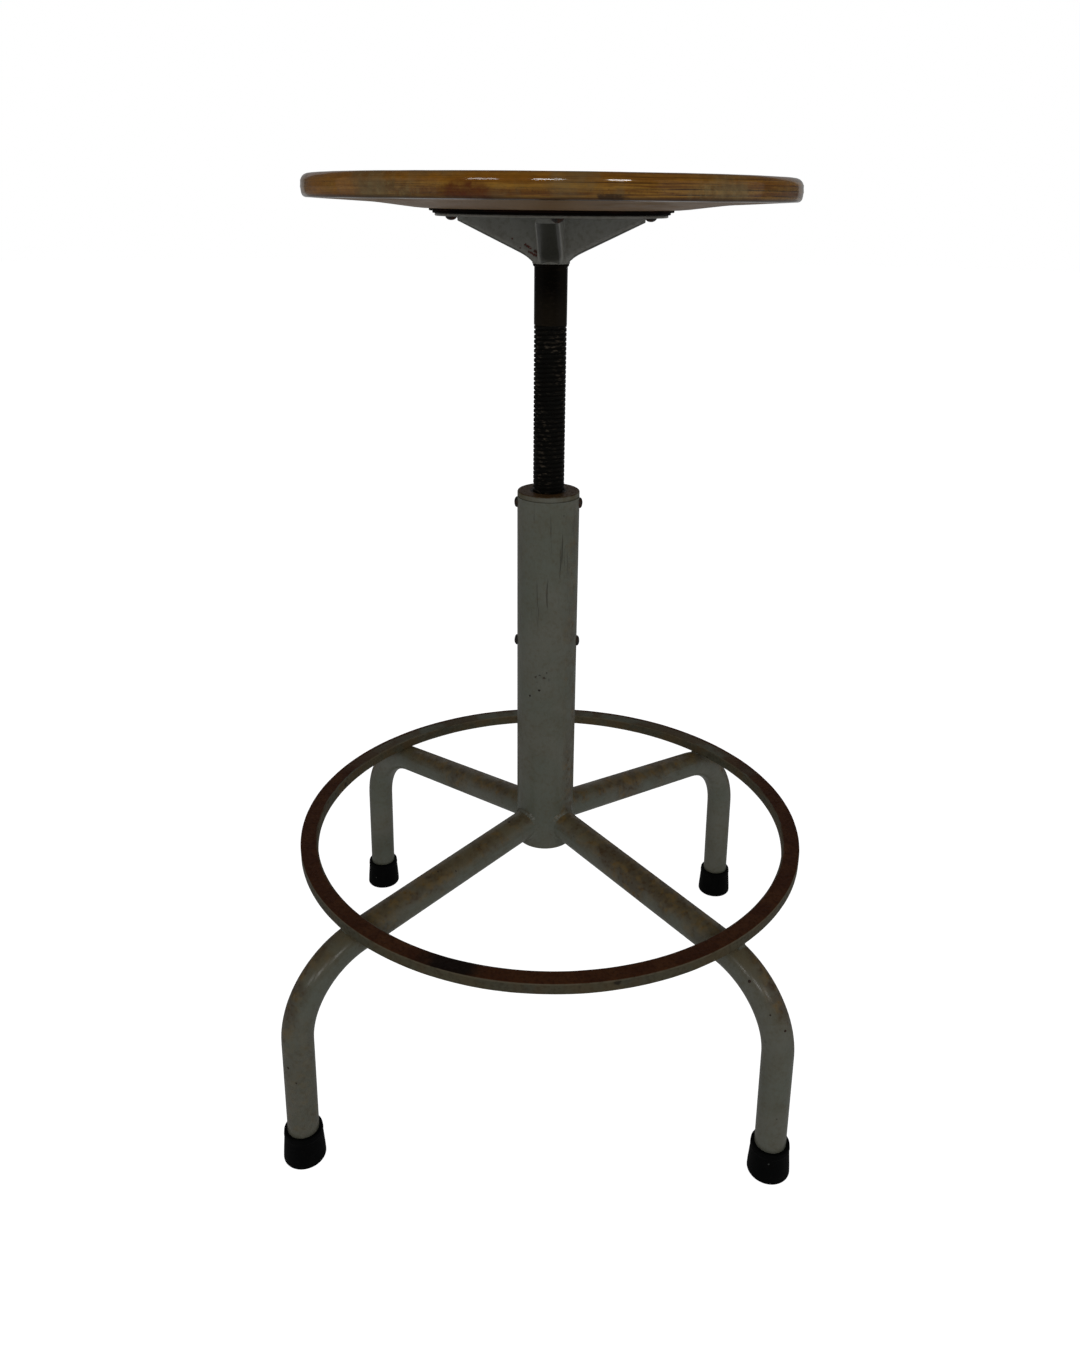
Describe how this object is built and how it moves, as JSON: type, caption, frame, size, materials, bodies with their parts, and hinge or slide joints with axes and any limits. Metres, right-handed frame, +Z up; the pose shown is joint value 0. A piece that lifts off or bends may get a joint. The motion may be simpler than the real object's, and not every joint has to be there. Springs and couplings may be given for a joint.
{
  "type": "adjustable swivel stool",
  "caption": "Workshop stool: round dished plywood seat on a turning screw that sets its height, in a tube column with bent tube legs, rubber feet and a foot ring.",
  "frame": {"origin": "on the floor, on the screw's axis, midway between the feet", "axes": "+Z up along the screw, -Y towards the front, +X to the right seen from the front; the legs stand on the diagonals"},
  "size_m": [0.4436, 0.4436, 0.7417],
  "materials": {
    "frame_paint": "semi-gloss grey-green paint, chipped and rust stained",
    "collar_steel": "grey-green paint worn through to brown steel on top",
    "plain_steel": "plain steel",
    "dark_fasteners": "dark oxidised steel",
    "screw_steel": "oiled black steel",
    "black_enamel": "black enamel",
    "black_fibre": "matt pressed fibre",
    "foot_rubber": "matt black rubber",
    "seat_plywood": "varnished moulded plywood, worn"
  },
  "bodies": {
    "base": {"column_tube": "frame_paint", "threaded_bush": "collar_steel", "guide_bush": "plain_steel", "upper_rivets": "dark_fasteners", "lower_rivets": "dark_fasteners", "leg_front_left": "frame_paint", "leg_front_right": "frame_paint", "leg_rear_right": "frame_paint", "leg_rear_left": "frame_paint", "rubber_foot_front_left": "foot_rubber", "rubber_foot_front_right": "foot_rubber", "rubber_foot_rear_right": "foot_rubber", "rubber_foot_rear_left": "foot_rubber", "foot_washers": "plain_steel", "column_welds": "frame_paint", "foot_ring": "frame_paint", "ring_weld_front_left": "frame_paint", "ring_weld_front_right": "frame_paint", "ring_weld_rear_right": "frame_paint", "ring_weld_rear_left": "frame_paint"},
    "stop_washer": {"stop_washer": "plain_steel"},
    "seat_assembly": {"screw_spindle": "screw_steel", "stop_nut": "plain_steel", "split_pin": "plain_steel", "hub_socket": "frame_paint", "hub_weld": "screw_steel", "bracket_arm_front": "frame_paint", "bracket_arm_right": "frame_paint", "bracket_arm_rear": "frame_paint", "bracket_arm_left": "frame_paint", "bracket_flange": "frame_paint", "seat_plate": "black_enamel", "seat_pad": "black_fibre", "seat_screws": "dark_fasteners", "seat_board": "seat_plywood"}
  },
  "joints": [
    {"name": "seat_lift", "type": "slide", "parent": "base", "child": "stop_washer", "axis": [0, 0, 1], "range_m": [-0.1262, 0.0264]},
    {"name": "seat_spin", "type": "hinge", "parent": "stop_washer", "child": "seat_assembly", "pos_m": [0, 0, 0.5], "axis": [0, 0, 1], "range_deg": [-12960, 2700]}
  ],
  "couplings": [
    {"joint": "seat_lift", "follows": "seat_spin", "m_per_rad": 0.00055704}
  ]
}
